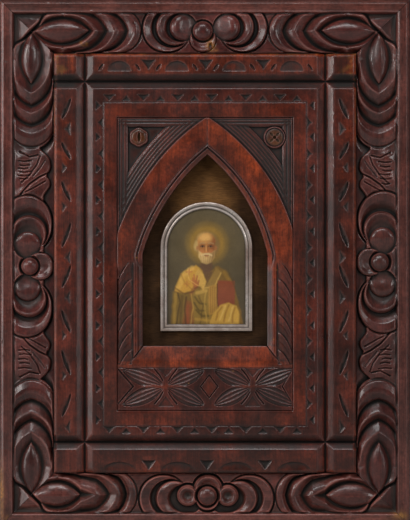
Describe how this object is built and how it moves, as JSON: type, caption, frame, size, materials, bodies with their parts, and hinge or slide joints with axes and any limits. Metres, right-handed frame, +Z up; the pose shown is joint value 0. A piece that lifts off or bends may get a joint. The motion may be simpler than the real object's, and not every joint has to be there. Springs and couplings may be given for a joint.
{
  "type": "framed painted metal icon",
  "caption": "Small arched painted metal icon in a metal rim on a velvet ground, in a chip-carved wooden frame with a pointed-arch opening; hangs flat on a wall.",
  "frame": {"origin": "on the flat back of the top rail, on the upright middle line, 20 mm below the top edge, where the frame hangs on a wall", "axes": "+Z up along the frame's height, -Y out of the wall towards the viewer, +X to the viewer's right"},
  "size_m": [0.328, 0.0288, 0.421],
  "materials": {
    "frame_wood": "dark red-brown mahogany, polished, with soft reflections and wear on the edges",
    "panel_wood": "dark red-brown mahogany, redder and more orange on the flat strips, polished",
    "backing_wood": "plain planed wood, unpolished",
    "velvet": "worn brown velvet with a woven texture and a golden sheen",
    "painted_plate": "oil paint under an aged varnish, satin",
    "white_metal": "silvery white metal, polished and a little tarnished"
  },
  "bodies": {
    "root": {"frame_top": "frame_wood", "frame_bottom": "frame_wood", "frame_left": "frame_wood", "frame_right": "frame_wood", "panel_surround": "panel_wood", "arch_board": "panel_wood", "back_board": "backing_wood", "velvet_ground": "velvet", "icon_plate": "painted_plate", "icon_rim": "white_metal"}
  },
  "joints": []
}
